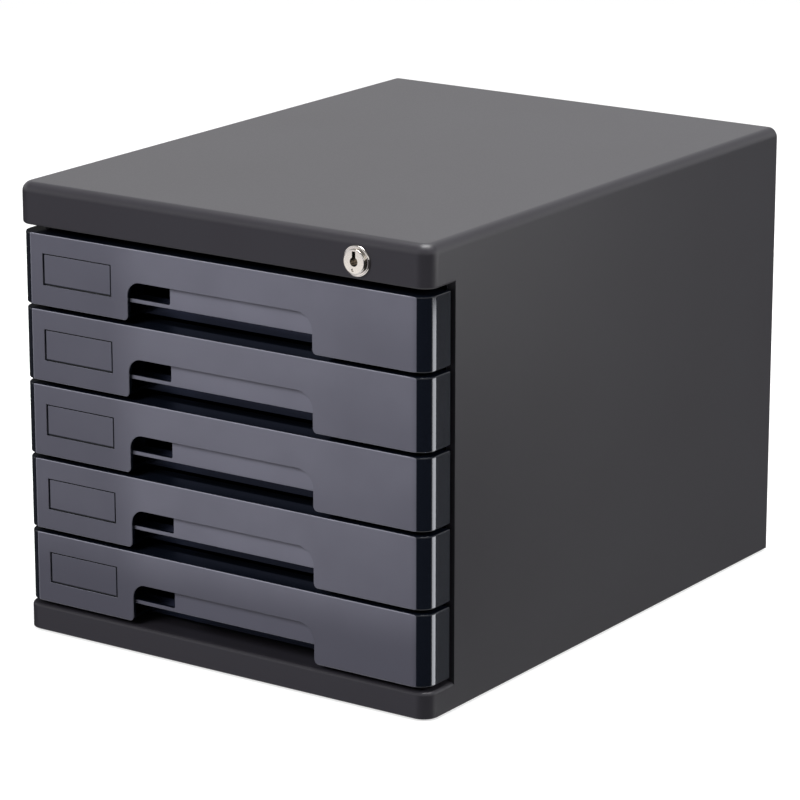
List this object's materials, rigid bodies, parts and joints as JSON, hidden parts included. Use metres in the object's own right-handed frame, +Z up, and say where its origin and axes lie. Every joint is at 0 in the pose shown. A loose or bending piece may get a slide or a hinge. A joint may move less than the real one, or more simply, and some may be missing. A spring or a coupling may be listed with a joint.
{
  "type": "desktop file drawer",
  "caption": "Desktop file cabinet with stacked sliding drawers for paper, cut-out grips, label plates and a cam lock whose bar holds every drawer shut.",
  "frame": {"origin": "centre of the footprint, on the table under the feet; the depth includes the lock's head", "axes": "+Z up, -Y the way the drawers open, +X to the right as seen from the front"},
  "size_m": [0.265, 0.353, 0.25],
  "materials": {
    "case_plastic": "fine matt moulded texture, dark charcoal",
    "front_plastic": "glossy moulding, very dark blue-grey, satin on the flat face",
    "tray_plastic": "glossy moulding, near-black navy",
    "lock_nickel": "nickel plating, polished",
    "zinc_steel": "zinc-plated steel",
    "foot_rubber": "matt black rubber"
  },
  "bodies": {
    "case": {"case_shell": "case_plastic", "case_base": "case_plastic", "back_panel": "case_plastic", "back_screws": "zinc_steel", "left_runner_frame": "case_plastic", "right_runner_frame": "case_plastic", "rubber_feet": "foot_rubber", "lock_housing": "lock_nickel", "lock_clip": "zinc_steel"},
    "lock_plug": {"lock_plug": "lock_nickel", "lock_cam": "zinc_steel", "lock_cam_screw": "zinc_steel"},
    "lock_bar": {"lock_bar": "zinc_steel"},
    "drawer_1": {"drawer_1_front": "front_plastic", "drawer_1_pull": "front_plastic", "drawer_1_label": "front_plastic", "drawer_1_tray": "tray_plastic", "drawer_1_runners": "tray_plastic", "drawer_1_screws": "zinc_steel"},
    "drawer_2": {"drawer_2_front": "front_plastic", "drawer_2_pull": "front_plastic", "drawer_2_label": "front_plastic", "drawer_2_tray": "tray_plastic", "drawer_2_runners": "tray_plastic", "drawer_2_screws": "zinc_steel"},
    "drawer_3": {"drawer_3_front": "front_plastic", "drawer_3_pull": "front_plastic", "drawer_3_label": "front_plastic", "drawer_3_tray": "tray_plastic", "drawer_3_runners": "tray_plastic", "drawer_3_screws": "zinc_steel"},
    "drawer_4": {"drawer_4_front": "front_plastic", "drawer_4_pull": "front_plastic", "drawer_4_label": "front_plastic", "drawer_4_tray": "tray_plastic", "drawer_4_runners": "tray_plastic", "drawer_4_screws": "zinc_steel"},
    "drawer_5": {"drawer_5_front": "front_plastic", "drawer_5_pull": "front_plastic", "drawer_5_label": "front_plastic", "drawer_5_tray": "tray_plastic", "drawer_5_runners": "tray_plastic", "drawer_5_screws": "zinc_steel"}
  },
  "joints": [
    {"name": "key_turn", "type": "hinge", "parent": "case", "child": "lock_plug", "pos_m": [0.089, -0.1535, 0.237], "axis": [0, 1, 0], "range_deg": [0, 90]},
    {"name": "lock_bar_lift", "type": "slide", "parent": "case", "child": "lock_bar", "axis": [0, 0, 1], "range_m": [0, 0.0071]},
    {"name": "drawer_1_slide", "type": "slide", "parent": "case", "child": "drawer_1", "axis": [0, -1, 0], "range_m": [0, 0.245]},
    {"name": "drawer_2_slide", "type": "slide", "parent": "case", "child": "drawer_2", "axis": [0, -1, 0], "range_m": [0, 0.245]},
    {"name": "drawer_3_slide", "type": "slide", "parent": "case", "child": "drawer_3", "axis": [0, -1, 0], "range_m": [0, 0.245]},
    {"name": "drawer_4_slide", "type": "slide", "parent": "case", "child": "drawer_4", "axis": [0, -1, 0], "range_m": [0, 0.245]},
    {"name": "drawer_5_slide", "type": "slide", "parent": "case", "child": "drawer_5", "axis": [0, -1, 0], "range_m": [0, 0.245]}
  ],
  "couplings": [
    {"joint": "lock_bar_lift", "follows": "key_turn", "m_per_rad": 0.0045016}
  ]
}
